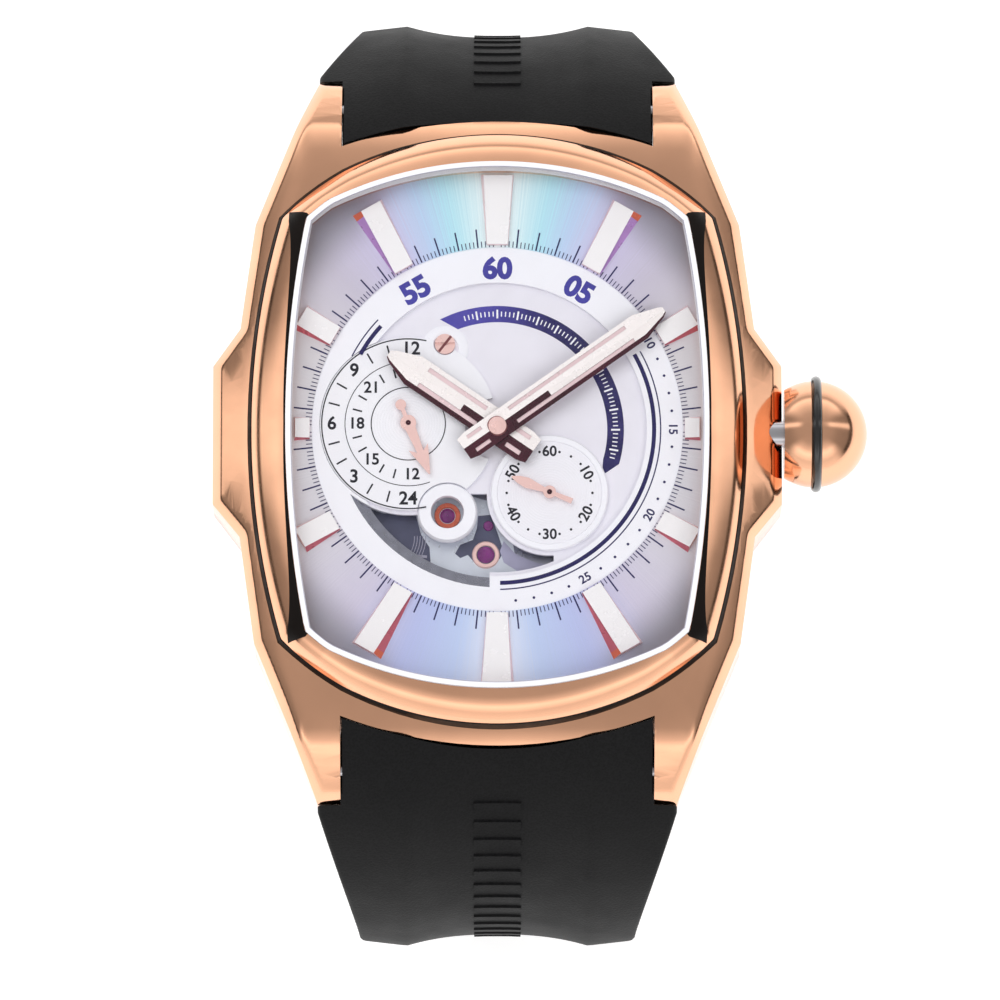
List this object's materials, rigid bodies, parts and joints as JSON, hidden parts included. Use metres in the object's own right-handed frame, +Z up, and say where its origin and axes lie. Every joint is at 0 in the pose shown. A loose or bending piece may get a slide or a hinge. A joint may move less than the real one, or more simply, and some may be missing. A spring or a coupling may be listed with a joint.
{
  "type": "automatic watch",
  "caption": "Tonneau wristwatch with ball crown, dual-time and small-seconds dials, open balance, rubber strap closed as worn on a folding clasp.",
  "frame": {"origin": "middle of the flat under the folded clasp, straight below the dial's centre", "axes": "+X to 3 o'clock and the crown, +Y to 12 o'clock, +Z up out of the dial"},
  "size_m": [0.0513, 0.074, 0.0544],
  "materials": {
    "rose_gold": "polished rose-gold plated steel",
    "crystal": "clear, coated",
    "white_seal": "smooth white seal",
    "black_seal": "smooth black rubber",
    "steel": "fine brushed",
    "silver_dial": "sunburst brushed silver",
    "white_dial": "satin white",
    "marker": "white with rose-gold sides",
    "hand": "polished rose gold",
    "movement_plate": "striped, rhodium plated",
    "brass": "gilt",
    "escapement_steel": "polished",
    "blued_steel": "blued",
    "jewel": "synthetic ruby",
    "rotor_metal": "striped",
    "strap_rubber": "matt, finely textured"
  },
  "bodies": {
    "watch": {"case_middle": "rose_gold", "bezel": "rose_gold", "crystal": "crystal", "crystal_gasket": "white_seal", "case_back": "steel", "back_window": "crystal", "back_gasket": "black_seal", "back_screws_set": "steel", "crown_tube": "steel", "stem_gasket": "black_seal", "dial_plate": "silver_dial", "chapter_ring": "white_dial", "dial_bridge": "white_dial", "dual_time_dial": "white_dial", "seconds_dial": "white_dial", "hour_markers": "marker", "dial_screw": "hand", "main_plate": "movement_plate", "jewels": "jewel", "train_bridge": "movement_plate", "balance_cock": "movement_plate", "pallet_bridge": "movement_plate", "bridge_screws": "blued_steel", "movement_ring": "movement_plate", "holder_ring": "movement_plate", "rotor_bearing": "rotor_metal", "strap_12": "strap_rubber", "strap_6": "strap_rubber", "spring_bars": "steel", "strap_pins": "steel", "clasp_base": "steel", "fold_pin": "steel"},
    "seconds": {"fourth_wheel": "brass", "seconds_hand": "hand"},
    "minutes": {"minute_hand": "hand", "cannon_pinion": "steel", "centre_wheel": "brass", "hand_cap": "hand"},
    "hours": {"hour_hand": "hand", "hour_wheel": "brass"},
    "motion": {"minute_wheel": "brass"},
    "dual_time": {"dual_time_hand": "hand", "dual_time_wheel": "brass"},
    "third": {"third_wheel": "brass"},
    "barrel_drum": {"barrel": "brass"},
    "escape": {"escape_wheel": "escapement_steel"},
    "fork": {"pallet_fork": "escapement_steel"},
    "balance": {"balance_wheel": "brass", "hairspring": "blued_steel"},
    "winding_rotor": {"rotor": "rotor_metal"},
    "stem_lever": {"setting_lever": "steel"},
    "crown_group": {"crown": "rose_gold", "crown_ring": "black_seal", "winding_stem": "steel"},
    "blade": {"clasp_blade": "steel", "cover_pin": "steel"},
    "cover": {"clasp_cover": "rose_gold", "button_springs": "steel"},
    "left_button": {"button_left": "rose_gold"},
    "right_button": {"button_right": "rose_gold"}
  },
  "joints": [
    {"name": "seconds_turn", "type": "hinge", "parent": "watch", "child": "seconds", "pos_m": [0.00408, -0.00509, 0.051], "axis": [0, 0, -1], "continuous": true},
    {"name": "minute_turn", "type": "hinge", "parent": "watch", "child": "minutes", "pos_m": [0, 0, 0.051], "axis": [0, 0, -1], "continuous": true},
    {"name": "hour_turn", "type": "hinge", "parent": "watch", "child": "hours", "pos_m": [0, 0, 0.051], "axis": [0, 0, -1], "continuous": true},
    {"name": "motion_turn", "type": "hinge", "parent": "watch", "child": "motion", "pos_m": [-0.00239, 0.00088, 0.051], "axis": [0, 0, -1], "continuous": true},
    {"name": "dual_time_turn", "type": "hinge", "parent": "watch", "child": "dual_time", "pos_m": [-0.00696, 0.00042, 0.051], "axis": [0, 0, -1], "continuous": true},
    {"name": "third_turn", "type": "hinge", "parent": "watch", "child": "third", "pos_m": [0.00493, -0.00049, 0.051], "axis": [0, 0, -1], "continuous": true},
    {"name": "barrel_turn", "type": "hinge", "parent": "watch", "child": "barrel_drum", "pos_m": [-0.00352, 0.00522, 0.051], "axis": [0, 0, -1], "continuous": true},
    {"name": "escape_turn", "type": "hinge", "parent": "watch", "child": "escape", "pos_m": [0.00064, -0.00732, 0.051], "axis": [0, 0, -1], "continuous": true},
    {"name": "balance_swing", "type": "hinge", "parent": "watch", "child": "balance", "pos_m": [-0.0039, -0.0066, 0.051], "axis": [0, 0, -1], "range_deg": [-150, 150], "stiffness_Nm_per_rad": 0.0000004},
    {"name": "fork_rock", "type": "hinge", "parent": "watch", "child": "fork", "pos_m": [-0.00181, -0.00693, 0.051], "axis": [0, 0, -1], "range_deg": [-6, 6]},
    {"name": "rotor_turn", "type": "hinge", "parent": "watch", "child": "winding_rotor", "pos_m": [0, 0, 0.051], "axis": [0, 0, -1], "continuous": true},
    {"name": "crown_pull", "type": "slide", "parent": "watch", "child": "stem_lever", "axis": [1, 0, 0], "range_m": [0, 0.0009]},
    {"name": "crown_turn", "type": "hinge", "parent": "stem_lever", "child": "crown_group", "pos_m": [0.0248, 0, 0.0487], "axis": [1, 0, 0], "continuous": true},
    {"name": "clasp_fold", "type": "hinge", "parent": "watch", "child": "blade", "pos_m": [0, -0.0129, 0.00225], "axis": [-1, 0, 0], "range_deg": [0, 100]},
    {"name": "cover_turn", "type": "hinge", "parent": "blade", "child": "cover", "pos_m": [0, 0.0129, 0.0013], "axis": [-1, 0, 0], "range_deg": [-100, 0]},
    {"name": "left_button_press", "type": "slide", "parent": "cover", "child": "left_button", "axis": [1, 0, 0], "range_m": [0, 0.0006], "stiffness_N_per_m": 500},
    {"name": "right_button_press", "type": "slide", "parent": "cover", "child": "right_button", "axis": [-1, 0, 0], "range_m": [0, 0.0006], "stiffness_N_per_m": 500}
  ],
  "couplings": [
    {"joint": "minute_turn", "follows": "seconds_turn", "ratio": 0.016667},
    {"joint": "hour_turn", "follows": "seconds_turn", "ratio": 0.0013889},
    {"joint": "motion_turn", "follows": "seconds_turn", "ratio": -0.0055556},
    {"joint": "dual_time_turn", "follows": "seconds_turn", "ratio": 0.00069444},
    {"joint": "third_turn", "follows": "seconds_turn", "ratio": -0.13333},
    {"joint": "barrel_turn", "follows": "seconds_turn", "ratio": -0.0025641},
    {"joint": "escape_turn", "follows": "seconds_turn", "ratio": -12},
    {"joint": "fork_rock", "follows": "balance_swing", "ratio": 0.033333},
    {"joint": "cover_turn", "follows": "clasp_fold", "ratio": -1}
  ]
}
